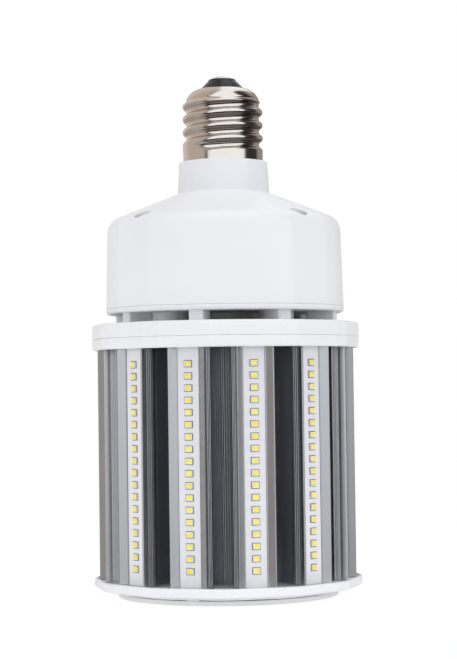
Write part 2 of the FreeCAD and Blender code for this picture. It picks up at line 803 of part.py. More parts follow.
def build_parts():
    """Every node of the lamp by name."""
    parts = {
        "centre_contact": centre_contact(), "base_insulator": base_insulator(),
        "screw_shell": screw_shell(), "driver_housing": driver_housing(),
        "housing_screws": housing_screws(), "housing_base": housing_base(),
        "tie_screws": tie_screws(), "vent_ring": vent_ring(), "top_end_cap": top_end_cap(),
        "top_cap_screws": port_screws(z_cap_top, True), "link_board": link_board(),
        "bottom_end_cap": bottom_end_cap(),
        "bottom_cap_screws": port_screws(z_seat - cap_plate, False),
        "bottom_cover": bottom_cover(), "cover_screws": cover_screws(),
        "driver_board": driver_board(), "driver_board_screws": driver_board_screws(),
        "transformer_core": transformer_core(), "transformer_coil": transformer_coil(),
        "driver_capacitors": driver_capacitors(), "driver_choke": driver_choke(),
        "supply_leads": supply_leads(), "led_leads": led_leads(),
    }
    for family, shape in (("heat_sink", stave()), ("led_board", led_board()), ("leds", leds())):
        for number, copy in enumerate(at_every_stave(shape), 1):
            parts["%s_%02d" % (family, number)] = copy
    return parts


os.makedirs("parts", exist_ok=True)
for name, shape in build_parts().items():
    solids = shape.Solids
    if len(solids) == 1:
        shape = solids[0]
    shape.exportStep("parts/%s.step" % name)
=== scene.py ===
import math

import bmesh
import bpy
from mathutils import Matrix, Vector


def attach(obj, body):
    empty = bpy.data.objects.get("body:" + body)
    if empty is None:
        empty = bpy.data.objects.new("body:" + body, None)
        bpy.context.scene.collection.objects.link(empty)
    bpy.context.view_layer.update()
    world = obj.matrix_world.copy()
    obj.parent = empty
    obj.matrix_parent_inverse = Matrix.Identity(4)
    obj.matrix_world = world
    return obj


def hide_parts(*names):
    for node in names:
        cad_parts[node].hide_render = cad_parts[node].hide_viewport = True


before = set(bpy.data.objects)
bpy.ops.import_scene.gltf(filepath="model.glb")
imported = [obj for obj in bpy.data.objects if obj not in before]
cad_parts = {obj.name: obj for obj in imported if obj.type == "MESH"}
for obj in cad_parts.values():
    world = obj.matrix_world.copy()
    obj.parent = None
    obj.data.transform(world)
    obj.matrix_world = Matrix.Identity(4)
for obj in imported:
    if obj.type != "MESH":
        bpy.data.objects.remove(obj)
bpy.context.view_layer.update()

MM = 0.001
scene = bpy.context.scene
scene.view_settings.view_transform = "Standard"


# Camera
# The photograph was taken with a long lens, a little above the lamp's foot and tipped up a little.
# The lamp's front stands a little to the left of the camera, and the picture is rolled a little.
CAMERA_DISTANCE = 971 * MM
CAMERA_HEIGHT = 100.3 * MM
CAMERA_AZIMUTH = math.radians(2.3)
CAMERA_PITCH = math.radians(1.76)
CAMERA_YAW = math.radians(0.093)
CAMERA_ROLL = math.radians(-0.76)

camera_data = bpy.data.cameras.new("studio_camera")
camera_data.lens = 107.6
camera_data.sensor_width = 36
camera_data.clip_start = 0.05
camera = bpy.data.objects.new("studio_camera", camera_data)
scene.collection.objects.link(camera)
scene.camera = camera
turn = (Matrix.Rotation(CAMERA_AZIMUTH - CAMERA_YAW, 4, "Z")
        @ Matrix.Rotation(math.radians(90) + CAMERA_PITCH, 4, "X")
        @ Matrix.Rotation(CAMERA_ROLL, 4, "Z"))
place = Vector((CAMERA_DISTANCE * math.sin(CAMERA_AZIMUTH),
                -CAMERA_DISTANCE * math.cos(CAMERA_AZIMUTH), CAMERA_HEIGHT))
camera.matrix_world = Matrix.Translation(place) @ turn


# Studio
# A white table that glows a little, a white surround and broad soft lamps, two at the sides, one
# above and one behind. Bright metal sees a room instead: a wide window with dark gaps beside it,
# warm grey walls, a bright ceiling panel, and a floor that is dark except straight below.
def cleared(holder):
    """The emptied node tree of a material or a world."""
    holder.use_nodes = True
    holder.node_tree.nodes.clear()
    return holder.node_tree


def add(tree, kind, **settings):
    """A node with its settings and the plain values of its sockets."""
    node = tree.nodes.new(kind)
    for key, value in settings.items():
        if hasattr(node, key):
            setattr(node, key, value)
        else:
            node.inputs[key.replace("_", " ")].default_value = value
    return node


def join(tree, source, output, target, name):
    tree.links.new(source.outputs[output], target.inputs[name])


def spread(tree, low, high, to_low=0.0, to_high=1.0, smooth=False):
    """A map range node between two plain ranges."""
    node = add(tree, "ShaderNodeMapRange", From_Min=low, From_Max=high, To_Min=to_low,
               To_Max=to_high)
    if smooth:
        node.interpolation_type = "SMOOTHSTEP"
    return node


def colours(tree, stops, smooth=False):
    """A colour ramp with its stops."""
    ramp = add(tree, "ShaderNodeValToRGB")
    band = ramp.color_ramp
    band.interpolation = "EASE" if smooth else "LINEAR"
    while len(band.elements) < len(stops):
        band.elements.new(0.5)
    for element, (place, colour) in zip(band.elements, stops):
        element.position = place
        element.color = (*colour, 1) if len(colour) == 3 else colour
    return ramp


TABLE_RADIUS = 0.45
TABLE_SHADE = 0.90
TABLE_GLOW = 0.34
TABLE_FADE = (0.06, 0.40)
TABLE_WHITE = 0.80
bpy.ops.mesh.primitive_circle_add(vertices=96, radius=TABLE_RADIUS, fill_type="NGON")
table = bpy.context.object
table.name = "studio_table"
table_look = bpy.data.materials.new("studio_table")
tree = cleared(table_look)
where = add(tree, "ShaderNodeTexCoord")
far = add(tree, "ShaderNodeVectorMath", operation="LENGTH")
fade = spread(tree, *TABLE_FADE, TABLE_WHITE, 1.0, smooth=True)
path = add(tree, "ShaderNodeLightPath")
share = add(tree, "ShaderNodeMath", operation="MULTIPLY")
shade = add(tree, "ShaderNodeBsdfDiffuse", Color=(TABLE_SHADE, TABLE_SHADE, TABLE_SHADE, 1))
lit = add(tree, "ShaderNodeEmission", Color=(1, 1, 1, 1), Strength=TABLE_GLOW)
both = add(tree, "ShaderNodeAddShader")
glow = add(tree, "ShaderNodeEmission", Color=(1, 1, 1, 1), Strength=1.0)
mix = add(tree, "ShaderNodeMixShader")
out = add(tree, "ShaderNodeOutputMaterial")
join(tree, where, "Object", far, 0)
join(tree, far, "Value", fade, "Value")
join(tree, fade, "Result", share, 0)
join(tree, path, "Is Camera Ray", share, 1)
join(tree, share, 0, mix, 0)
join(tree, shade, "BSDF", both, 0)
join(tree, lit, "Emission", both, 1)
join(tree, both, "Shader", mix, 1)
join(tree, glow, "Emission", mix, 2)
join(tree, mix, "Shader", out, "Surface")
table.data.materials.append(table_look)
table.visible_glossy = False

WINDOW = (1.26, 1.29, 1.33)
GAP = (0.035, 0.03, 0.03)
WALL = (0.60, 0.53, 0.48)
ROUND_THE_STUDIO = (
    (-180, (0.66, 0.61, 0.57)), (-140, (0.74, 0.68, 0.63)), (-105, WALL), (-52, WALL),
    (-49, GAP), (-43, GAP), (-41, WINDOW), (66, WINDOW), (70, GAP), (112, GAP),
    (126, (0.38, 0.34, 0.31)), (160, (0.38, 0.34, 0.31)))
BELOW_THE_STUDIO = (
    (-180, (0.50, 0.45, 0.41)), (-62, (0.50, 0.45, 0.41)), (-50, (0.03, 0.028, 0.027)),
    (100, (0.03, 0.028, 0.027)), (140, (0.28, 0.25, 0.23)))
WALL_SHARE = ((0.0, 0.7), (0.08, 0.7), (0.14, 0.0), (0.41, 0.0), (0.43, 1.0))
PANEL_ACROSS = ((0.47, 0), (0.485, 1), (0.68, 1), (0.70, 0))
PANEL_ABOVE = ((0.74, 0), (0.76, 1))
SOFT_LIGHT, SOFT_STRENGTH = (0.95, 0.965, 1.0, 1), 0.60


def greys(tree, stops):
    """A ramp from plain values."""
    return colours(tree, [(place, (value, value, value)) for place, value in stops])


def studio_world():
    """White to the camera, a soft grey light, and the room that bright metal reflects."""
    world = bpy.data.worlds.new("studio")
    scene.world = world
    tree = cleared(world)
    where = add(tree, "ShaderNodeTexCoord")
    split = add(tree, "ShaderNodeSeparateXYZ")
    join(tree, where, "Generated", split, "Vector")
    away = add(tree, "ShaderNodeMath", operation="MULTIPLY")
    away.inputs[1].default_value = -1
    join(tree, split, "Y", away, 0)
    angle = add(tree, "ShaderNodeMath", operation="ARCTAN2")
    join(tree, split, "X", angle, 0)
    join(tree, away, 0, angle, 1)
    around = spread(tree, -math.pi, math.pi)
    join(tree, angle, 0, around, "Value")
    band = colours(tree, [((a + 180) / 360, c) for a, c in ROUND_THE_STUDIO])
    join(tree, around, "Result", band, "Fac")
    height = greys(tree, WALL_SHARE)
    level = spread(tree, -1, 1)
    join(tree, split, "Z", level, "Value")
    join(tree, level, "Result", height, "Fac")
    room = add(tree, "ShaderNodeMix", data_type="RGBA")
    low = colours(tree, [((a + 180) / 360, c) for a, c in BELOW_THE_STUDIO])
    join(tree, around, "Result", low, "Fac")
    join(tree, low, "Color", room, 6)
    join(tree, height, "Color", room, 0)
    join(tree, band, "Color", room, 7)
    across = spread(tree, -1, 1)
    beside = greys(tree, PANEL_ACROSS)
    overhead = greys(tree, PANEL_ABOVE)
    panel = add(tree, "ShaderNodeMix", data_type="RGBA", blend_type="MULTIPLY", Factor=1.0)
    ceiling = add(tree, "ShaderNodeMix", data_type="RGBA")
    ceiling.inputs[7].default_value = (*WINDOW, 1)
    join(tree, split, "X", across, "Value")
    join(tree, across, "Result", beside, "Fac")
    join(tree, level, "Result", overhead, "Fac")
    join(tree, beside, "Color", panel, 6)
    join(tree, overhead, "Color", panel, 7)
    tree.links.new(panel.outputs[2], ceiling.inputs[0])
    tree.links.new(room.outputs[2], ceiling.inputs[6])
    walls = add(tree, "ShaderNodeBackground", Strength=1.0)
    tree.links.new(ceiling.outputs[2], walls.inputs["Color"])
    soft = add(tree, "ShaderNodeBackground", Color=SOFT_LIGHT, Strength=SOFT_STRENGTH)
    white = add(tree, "ShaderNodeBackground", Color=(1, 1, 1, 1), Strength=1.0)
    path = add(tree, "ShaderNodeLightPath")
    seen = add(tree, "ShaderNodeMixShader")
    last = add(tree, "ShaderNodeMixShader")
    out = add(tree, "ShaderNodeOutputWorld")
    join(tree, path, "Is Glossy Ray", seen, 0)
    join(tree, soft, "Background", seen, 1)
    join(tree, walls, "Background", seen, 2)
    join(tree, path, "Is Camera Ray", last, 0)
    join(tree, seen, "Shader", last, 1)
    join(tree, white, "Background", last, 2)
    join(tree, last, "Shader", out, "Surface")


studio_world()


LAMPS_LOOK_AT = Vector((0, 0, 0.13))


def soft_lamp(name, azimuth, height, distance, width, tall, watts):
    """A soft rectangular lamp that looks at the middle of the object, unseen by bright metal."""
    data = bpy.data.lights.new(name, "AREA")
    data.shape = "RECTANGLE"
    data.size, data.size_y = width, tall
    data.energy = watts
    lamp = bpy.data.objects.new(name, data)
    scene.collection.objects.link(lamp)
    a = math.radians(azimuth)
    lamp.location = (distance * math.sin(a), -distance * math.cos(a), height)
    aim = (LAMPS_LOOK_AT - lamp.location).to_track_quat("-Z", "Y")
    lamp.rotation_euler = aim.to_euler()
    lamp.visible_glossy = False


soft_lamp("key_lamp", 62, 0.55, 1.7, 1.1, 1.0, 8.8)
soft_lamp("fill_lamp", -55, 0.35, 1.8, 1.2, 1.0, 8.6)
soft_lamp("top_lamp", 10, 1.9, 0.35, 1.2, 1.2, 11.5)
soft_lamp("back_lamp", 180, 0.9, 1.8, 1.4, 1.0, 4.8)


# Bottom cover
# A plain moulded disc of white plastic with a rounded lower edge. Four pads on its rim hold a
# narrow air slit open below the bottom end cap, and its screws sit in counterbores underneath.
SHARP_ANGLE = 34


def mesh_object(name, points, faces, crease=SHARP_ANGLE):
    """A smooth shaded object, in millimetres, whose sharper edges stay sharp."""
    mesh = bpy.data.meshes.new(name)
    mesh.from_pydata([tuple(v * MM for v in p) for p in points], [], faces)
    mesh.validate()
    mesh.shade_smooth()
    mesh.set_sharp_from_angle(angle=math.radians(crease))
    thing = bpy.data.objects.new(name, mesh)
    scene.collection.objects.link(thing)
    return thing


def skin(rings, loop=False):
    """Points and faces between level rings of equal length, looped or closed with end fans."""
    count = len(rings[0])
    points = [p for ring in rings for p in ring]
    faces = []
    for i in range(len(rings) if loop else len(rings) - 1):
        a, b = i * count, (i + 1) % len(rings) * count
        for j in range(count):
            k = (j + 1) % count
            faces.append((a + j, a + k, b + k, b + j))
    if not loop:
        for start, flip in ((0, True), ((len(rings) - 1) * count, False)):
            ring = points[start:start + count]
            points.append(tuple(sum(p[i] for p in ring) / count for i in range(3)))
            for j in range(count):
                fan = (start + j, start + (j + 1) % count, len(points) - 1)
                faces.append(fan[::-1] if flip else fan)
    return points, faces


def rounded(corners, closed=False, steps=5):
    """A path through corners of (x, y, rounding), with each rounding drawn as an arc."""
    path = []
    count = len(corners)
    for i, (x, y, r) in enumerate(corners):
        if r <= 0 or (not closed and i in (0, count - 1)):
            path.append((x, y))
            continue
        here = Vector((x, y))
        back = (Vector(corners[i - 1][:2]) - here).normalized()
        on = (Vector(corners[(i + 1) % count][:2]) - here).normalized()
        half = back.angle(on) / 2
        centre = here + (back + on).normalized() * (r / math.sin(half))
        start = here + back * (r / math.tan(half)) - centre
        end = here + on * (r / math.tan(half)) - centre
        sweep = math.atan2(start.x * end.y - start.y * end.x, start.dot(end))
        for s in range(steps + 1):
            a = sweep * s / steps
            path.append((centre.x + start.x * math.cos(a) - start.y * math.sin(a),
                         centre.y + start.x * math.sin(a) + start.y * math.cos(a)))
    return path


def polar(radius, azimuth, z=0.0):
    """A point at an azimuth in degrees, measured from the front towards +X."""
    a = math.radians(azimuth)
    return (radius * math.sin(a), -radius * math.cos(a), z)


def lathe(name, corners, columns=144, loop=False, steps=5):
    """A turned piece from corners of (radius, height, rounding), from its foot upwards."""
    outline = rounded(corners, loop, steps)
    rings = [[polar(r, 360 * j / columns, z) for j in range(columns)] for r, z in outline]
    return mesh_object(name, *skin(rings, loop))


def brick(points, faces, size, centre, azimuth, chamfer):
    """Adds a block with cut edges, made at the front, at its azimuth: width, depth, height."""
    w, d, h = (s / 2 for s in size)
    a = math.radians(azimuth)
    base = len(points)
    outline = ((w - chamfer, d), (w, d - chamfer), (w, -d + chamfer), (w - chamfer, -d),
               (-w + chamfer, -d), (-w, -d + chamfer), (-w, d - chamfer), (-w + chamfer, d))
    for z in (-h, h):
        for x, y in outline:
            u, v = centre[0] + x, centre[1] + y
            points.append((u * math.cos(a) - v * math.sin(a), u * math.sin(a) + v * math.cos(a),
                           centre[2] + z))
    for j in range(8):
        k = (j + 1) % 8
        faces.append((base + k, base + j, base + 8 + j, base + 8 + k))
    faces.append(tuple(base + j for j in range(8)))
    faces.append(tuple(base + 15 - j for j in range(8)))


def effect(name, outputs, inputs):
    """An empty shader group with its named sockets, and its two end nodes."""
    group = bpy.data.node_groups.new(name, "ShaderNodeTree")
    for socket, kind, value in inputs:
        made = group.interface.new_socket(name=socket, in_out="INPUT", socket_type=kind)
        made.default_value = value
    for socket, kind in outputs:
        group.interface.new_socket(name=socket, in_out="OUTPUT", socket_type=kind)
    return group, add(group, "NodeGroupInput"), add(group, "NodeGroupOutput")


FLOAT, COLOUR = "NodeSocketFloat", "NodeSocketColor"


def moulded_skin():
    """The faint unevenness of moulding: cloudy tone, satin patches and a fine orange peel."""
    group, given, told = effect(
        "moulded_skin", (("Tone", COLOUR), ("Roughness", FLOAT), ("Height", FLOAT)),
        (("Base", COLOUR, (0.8, 0.8, 0.8, 1)), ("Cloud", FLOAT, 0.5),
         ("Satin", FLOAT, 0.25), ("Peel", FLOAT, 420.0)))
    where = add(group, "ShaderNodeTexCoord")
    broad = add(group, "ShaderNodeTexNoise", Scale=16.0, Detail=3.0)
    fine = add(group, "ShaderNodeTexNoise", Detail=5.0)
    join(group, where, "Object", broad, "Vector")
    join(group, where, "Object", fine, "Vector")
    join(group, given, "Peel", fine, "Scale")
    grey = spread(group, 0.25, 0.75, 0.965, 1.02)
    join(group, broad, "Fac", grey, "Value")
    tone = add(group, "ShaderNodeMix", data_type="RGBA", blend_type="MULTIPLY")
    join(group, given, "Cloud", tone, 0)
    join(group, given, "Base", tone, 6)
    join(group, grey, "Result", tone, 7)
    group.links.new(tone.outputs[2], told.inputs["Tone"])
    patch = add(group, "ShaderNodeMath", operation="MULTIPLY_ADD")
    patch.inputs[1].default_value = 0.10
    join(group, broad, "Fac", patch, 0)
    join(group, given, "Satin", patch, 2)
    join(group, patch, 0, told, "Roughness")
    join(group, fine, "Fac", told, "Height")
    return group


MOULDED = moulded_skin()


def material(name, group, given, bump=0.0, depth=0.05, **sockets):
    """A surface whose tone, roughness and relief come from an effect group."""
    look = bpy.data.materials.new(name)
    tree = cleared(look)
    source = add(tree, "ShaderNodeGroup", node_tree=group)
    for key, value in given.items():
        source.inputs[key].default_value = (*value, 1) if isinstance(value, tuple) else value
    body = add(tree, "ShaderNodeBsdfPrincipled", **sockets)
    join(tree, source, "Tone", body, "Base Color")
    join(tree, source, "Roughness", body, "Roughness")
    if bump:
        relief = add(tree, "ShaderNodeBump", Strength=bump, Distance=depth * MM)
        join(tree, source, "Height", relief, "Height")
        join(tree, relief, "Normal", body, "Normal")
    out = add(tree, "ShaderNodeOutputMaterial")
    join(tree, body, "BSDF", out, "Surface")
    return look


WHITE = (0.80, 0.80, 0.82)
white_plastic = material("white_plastic", MOULDED, {"Base": WHITE, "Cloud": 0.6, "Satin": 0.34},
                         bump=0.05, IOR=1.45)


def hand_over(thing, look, slot, *nodes):
    """Gives a finished piece its material, its body and the CAD nodes it stands for; the slot is
    not used.
    """
    if look:
        thing.data.materials.clear()
        thing.data.materials.append(look)
    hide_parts(*nodes)
    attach(thing, "root")


def dress(look, *nodes):
    """Gives a material to CAD nodes that stay as they are."""
    for node in nodes:
        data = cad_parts[node].data
        data.materials.clear()
        data.materials.append(look)


COVER_RADIUS, COVER_TOP, COVER_EDGE = 54.0, 2.3, 1.0
AXIS_HOLE = 0.4
AIR_SLIT = 0.65
PAD, PAD_INSET = (6.0, 2.5), 0.3
PAD_FIRST = -16
COVER_SCREWS_AT = 41.0
HEAD_RADIUS = 3.0
COUNTERBORE = 1.2


def cut(thing, cutter):
    """Cuts the closed pieces of one object out of another and keeps the sharp edges sharp."""
    tool = thing.modifiers.new("cut", "BOOLEAN")
    tool.object = cutter
    tool.solver = "EXACT"
    view = bpy.context.evaluated_depsgraph_get()
    mesh = bpy.data.meshes.new_from_object(thing.evaluated_get(view))
    thing.modifiers.remove(tool)
    thing.data = mesh
    mesh.shade_smooth()
    mesh.set_sharp_from_angle(angle=math.radians(SHARP_ANGLE))
    bpy.data.objects.remove(cutter)


def pegs(name, radius, low, high, places, columns=32):
    """Upright round pegs as one object, at places of (x, y)."""
    points, faces = [], []
    for x, y in places:
        rings = [[(x + px, y + py, z) for px, py, _ in
                  (polar(radius, 360 * j / columns) for j in range(columns))] for z in (low, high)]
        more, sides = skin(rings)
        faces += [tuple(i + len(points) for i in face) for face in sides]
        points += more
    return mesh_object(name, points, faces)


cover = lathe("cover_disc", [(AXIS_HOLE, 0, 0), (COVER_RADIUS, 0, COVER_EDGE),
                             (COVER_RADIUS, COVER_TOP, 0.25), (AXIS_HOLE, COVER_TOP, 0)], 192)
holes = [polar(COVER_SCREWS_AT, 90 * k)[:2] for k in range(4)]
cut(cover, pegs("counterbores", HEAD_RADIUS, -1.0, COUNTERBORE, holes))
hand_over(cover, white_plastic, "white_plastic", "bottom_cover")
points, faces = [], []
for k in range(4):
    brick(points, faces, (*PAD, AIR_SLIT),
          (0, -COVER_RADIUS + PAD_INSET + PAD[1] / 2, COVER_TOP + AIR_SLIT / 2),
          PAD_FIRST + 90 * k, 0.3)
hand_over(mesh_object("slit_pads", points, faces), white_plastic, "white_plastic", "bottom_cover")


# Bottom end cap
# One moulding in white plastic: a round boss below, a faceted flange with a soft lower edge, and
# a low lip round the feet of the staves. Narrow facets lie between the staves, wide ones below.
RING_CORNER = 65.65
NARROW_FACET = 8.0
FACET_ROUNDING = 3.0
BOSS_RADIUS = 57.2
LIP_RADIUS = 63.8
CORE_HOLE = 30.0
LIP_INSET, SEAM_INSET = 1.7, 2.9
Z_BOSS, Z_FLANGE, Z_SEAT, Z_LIP = 2.95, 4.55, 8.45, 9.05


def facet_ring(inset, z, steps=5):
    """A level ring of the twenty four sided outline with rounded corners, moved in by an inset."""
    wide = RING_CORNER * math.cos(math.radians(15 - NARROW_FACET / 2)) - FACET_ROUNDING
    narrow = RING_CORNER * math.cos(math.radians(NARROW_FACET / 2)) - FACET_ROUNDING
    ring = []
    for k in range(12):
        for first, near, far in ((30 * k - 15, wide, narrow), (30 * k, narrow, wide)):
            ax, ay, _ = polar(1, first)
            bx, by, _ = polar(1, first + 15)
            across = ax * by - ay * bx
            x = (near * by - far * ay) / across
            y = (ax * far - bx * near) / across
            for s in range(steps + 1):
                nx, ny, _ = polar(FACET_ROUNDING - inset, first + 15 * s / steps)
                ring.append((x + nx, y + ny, z))
    return ring


FACET_AZIMUTHS = [math.degrees(math.atan2(x, -y)) for x, y, _ in facet_ring(0, 0)]


def round_ring(radius, z):
    """A round ring with as many points as the faceted one, for a skin between the two."""
    return [polar(radius, azimuth, z) for azimuth in FACET_AZIMUTHS]


def faceted(name, round_part, facet_part):
    """A looped moulding: corners of (radius, height, rounding), then (inset, height, rounding)."""
    rings = [round_ring(r, z) for r, z in rounded(round_part, steps=3)]
    outside = rounded([(-i, z, r) for i, z, r in facet_part], steps=5)
    rings += [facet_ring(-i, z) for i, z in outside]
    return mesh_object(name, *skin(rings, True), crease=20)


foot_cap = faceted(
    "foot_cap",
    [(LIP_RADIUS, Z_LIP - 0.2, 0), (LIP_RADIUS, Z_SEAT, 0), (CORE_HOLE, Z_SEAT, 0),
     (CORE_HOLE, Z_BOSS, 0), (BOSS_RADIUS, Z_BOSS, 0.4), (BOSS_RADIUS, Z_FLANGE, 0)],
    [(SEAM_INSET, Z_FLANGE, 0), (0, Z_FLANGE, 1.9), (0, Z_LIP, 0.8), (LIP_INSET, Z_LIP, 0)])
hand_over(foot_cap, white_plastic, "white_plastic", "bottom_end_cap")


# Heat sink staves
# Twelve aluminium extrusions, bright as drawn. Each has a channel for its strip between two
# slanted lips, ribbed wings behind them, a web with a screw port and a ribbed flange at the core.
STAVE_TOP = 123.35
CHANNEL_HALF, CHANNEL_FLOOR, CHANNEL_LIP = 5.3, 58.1, 59.3
TIP_HALF, TIP_RADIUS = 8.8, 62.4
WING_HALF, WING_RADIUS, WING_BACK = 10.4, 57.2, 55.3
WEB_HALF = 1.6
PORT_AT, PORT_RADIUS, PORT_HOLE = 49.0, 3.3, 1.5
FLANGE_OUT, FLANGE_IN = 37.6, 34.4
WING_RIBS = 3
RIB_PITCH, RIB_DEPTH = 1.1, 0.5
HALF_SECTOR = math.tan(math.radians(14.7))


def stave_section():
    """Right half of the extrusion's section, front to back, as (across, outwards, rounding)."""
    half = [(CHANNEL_HALF, CHANNEL_FLOOR, 0), (CHANNEL_HALF, CHANNEL_LIP, 0.12),
            (CHANNEL_HALF + 0.45, CHANNEL_LIP + 0.05, 0.15),
            (TIP_HALF - 0.35, TIP_RADIUS - 0.1, 0.2), (TIP_HALF, TIP_RADIUS, 0.12),
            (TIP_HALF + 0.25, TIP_RADIUS - 0.5, 0.15), (TIP_HALF + 0.2, CHANNEL_LIP - 0.6, 0.1)]
    step = (WING_HALF - TIP_HALF - 0.2) / WING_RIBS
    drop = (CHANNEL_LIP - WING_RADIUS) / WING_RIBS
    for k in range(WING_RIBS):
        u, w = TIP_HALF + 0.2 + k * step, CHANNEL_LIP - k * drop
        half += [(u, w - 0.9, 0.05), (u + 0.04, w - 0.2, 0.06), (u + step * 0.6, w - 0.3, 0.06),
                 (u + step * 0.66, w - 1.0, 0.05)]
    half += [(WING_HALF, WING_RADIUS - 0.9, 0.1), (WING_HALF - 0.1, WING_BACK + 0.5, 0.2),
             (WING_HALF - 0.7, WING_BACK, 0.3), (WEB_HALF + 2.2, WING_BACK - 0.5, 0.4),
             (WEB_HALF, WING_BACK - 2.2, 0.8)]
    lean = math.asin(WEB_HALF / PORT_RADIUS)
    for s in range(9):
        a = lean + (math.pi - 2 * lean) * s / 8
        half.append((PORT_RADIUS * math.sin(a), PORT_AT + PORT_RADIUS * math.cos(a), 0))
    half += [(WEB_HALF, FLANGE_OUT + 1.4, 0.4), (WEB_HALF + 1.0, FLANGE_OUT, 0.2)]
    u = WEB_HALF + 1.2
    while u + RIB_PITCH < FLANGE_OUT * HALF_SECTOR:
        for share, depth in ((0.0, RIB_DEPTH), (0.5, RIB_DEPTH), (0.55, 0.0), (0.95, 0.0)):
            half.append((u + share * RIB_PITCH, FLANGE_OUT - depth, 0.1))
        u += RIB_PITCH
    half += [(edge * HALF_SECTOR, edge, 0.2) for edge in (FLANGE_OUT, FLANGE_IN)]
    return half


def extruded(name, section, low, high):
    """A closed section of (across, outwards, rounding), raised between two heights."""
    outline = rounded(section, True, 2)
    count = len(outline)
    points = [(u, -w, z) for z in (low, high) for u, w in outline]
    faces = [(j, (j + 1) % count, count + (j + 1) % count, count + j) for j in range(count)]
    faces += [tuple(range(count)), tuple(range(count, 2 * count))]
    thing = mesh_object(name, points, faces)
    work = bmesh.new()
    work.from_mesh(thing.data)
    bmesh.ops.recalc_face_normals(work, faces=work.faces)
    work.to_mesh(thing.data)
    work.free()
    thing.data.set_sharp_from_angle(angle=math.radians(SHARP_ANGLE))
    return thing


def socket_of(tree, name):
    """The identifier of a named modifier input."""
    return next(s.identifier for s in tree.interface.items_tree
                if s.name == name and s.in_out == "INPUT")


def repeat_round():
    """Geometry nodes that stack a piece upwards in a row and then repeat the row in a circle."""
    tree = bpy.data.node_groups.new("repeat_round", "GeometryNodeTree")
    inputs = (("Piece", "NodeSocketGeometry", None), ("Rows", "NodeSocketInt", 1),
              ("Row Pitch", FLOAT, 0.0), ("Count", "NodeSocketInt", 12), ("First", FLOAT, 0.0),
              ("Finish", "NodeSocketMaterial", None))
    for name, kind, value in inputs:
        made = tree.interface.new_socket(name=name, in_out="INPUT", socket_type=kind)
        if value is not None:
            made.default_value = value
    tree.interface.new_socket(name="Pieces", in_out="OUTPUT", socket_type="NodeSocketGeometry")
    given, told = add(tree, "NodeGroupInput"), add(tree, "NodeGroupOutput")
    index = add(tree, "GeometryNodeInputIndex")
    column = add(tree, "GeometryNodePoints")
    join(tree, given, "Rows", column, "Count")
    rise = add(tree, "ShaderNodeMath", operation="MULTIPLY")
    join(tree, index, 0, rise, 0)
    join(tree, given, "Row Pitch", rise, 1)
    up = add(tree, "ShaderNodeCombineXYZ")
    join(tree, rise, 0, up, "Z")
    join(tree, up, 0, column, "Position")
    row = add(tree, "GeometryNodeInstanceOnPoints")
    join(tree, column, 0, row, "Points")
    join(tree, given, "Piece", row, "Instance")
    circle = add(tree, "GeometryNodePoints")
    join(tree, given, "Count", circle, "Count")
    step = add(tree, "ShaderNodeMath", operation="DIVIDE")
    step.inputs[0].default_value = 2 * math.pi
    join(tree, given, "Count", step, 1)
    swing = add(tree, "ShaderNodeMath", operation="MULTIPLY_ADD")
    join(tree, index, 0, swing, 0)
    join(tree, step, 0, swing, 1)
    join(tree, given, "First", swing, 2)
    turn = add(tree, "ShaderNodeCombineXYZ")
    join(tree, swing, 0, turn, "Z")
    ring = add(tree, "GeometryNodeInstanceOnPoints")
    join(tree, circle, 0, ring, "Points")
    join(tree, row, 0, ring, "Instance")
    join(tree, turn, 0, ring, "Rotation")
    real = add(tree, "GeometryNodeRealizeInstances")
    join(tree, ring, 0, real, 0)
    finish = add(tree, "GeometryNodeSetMaterial")
    join(tree, real, 0, finish, "Geometry")
    join(tree, given, "Finish", finish, "Material")
    join(tree, finish, 0, told, "Pieces")
    return tree


REPEAT_ROUND = repeat_round()


def all_round(thing, look, slot, nodes, count=12, first=15.0, rows=1, pitch=0.0):
    """Repeats a piece made at the front in a circle, and in a row upwards, as one plain mesh."""
    tool = thing.modifiers.new("repeat", "NODES")
    tool.node_group = REPEAT_ROUND
    for name, value in (("Rows", rows), ("Row Pitch", pitch * MM), ("Count", count),
                        ("First", math.radians(first)), ("Finish", look)):
        tool[socket_of(REPEAT_ROUND, name)] = value
    view = bpy.context.evaluated_depsgraph_get()
    mesh = bpy.data.meshes.new_from_object(thing.evaluated_get(view))
    thing.modifiers.remove(tool)
    thing.data = mesh
    hand_over(thing, None, slot, *nodes)


# Painted shade near the axis: metal deep between the staves is darkened towards the core.
CORE_FADE, CORE_PAINTED_SHADE = (0.043, 0.056), (0.76, 0.78, 0.83, 1)
# Painted shade on the downward faces of ridges, eased on the left side.
UNDERSIDES = (-0.62, -0.30)
SHADE_EASE_LEFT, SHADE_SHARE_LEFT = (-0.011, -0.006), 0.15
UNDERSIDE_SHADE_COLOUR = (0.24, 0.21, 0.19, 1)


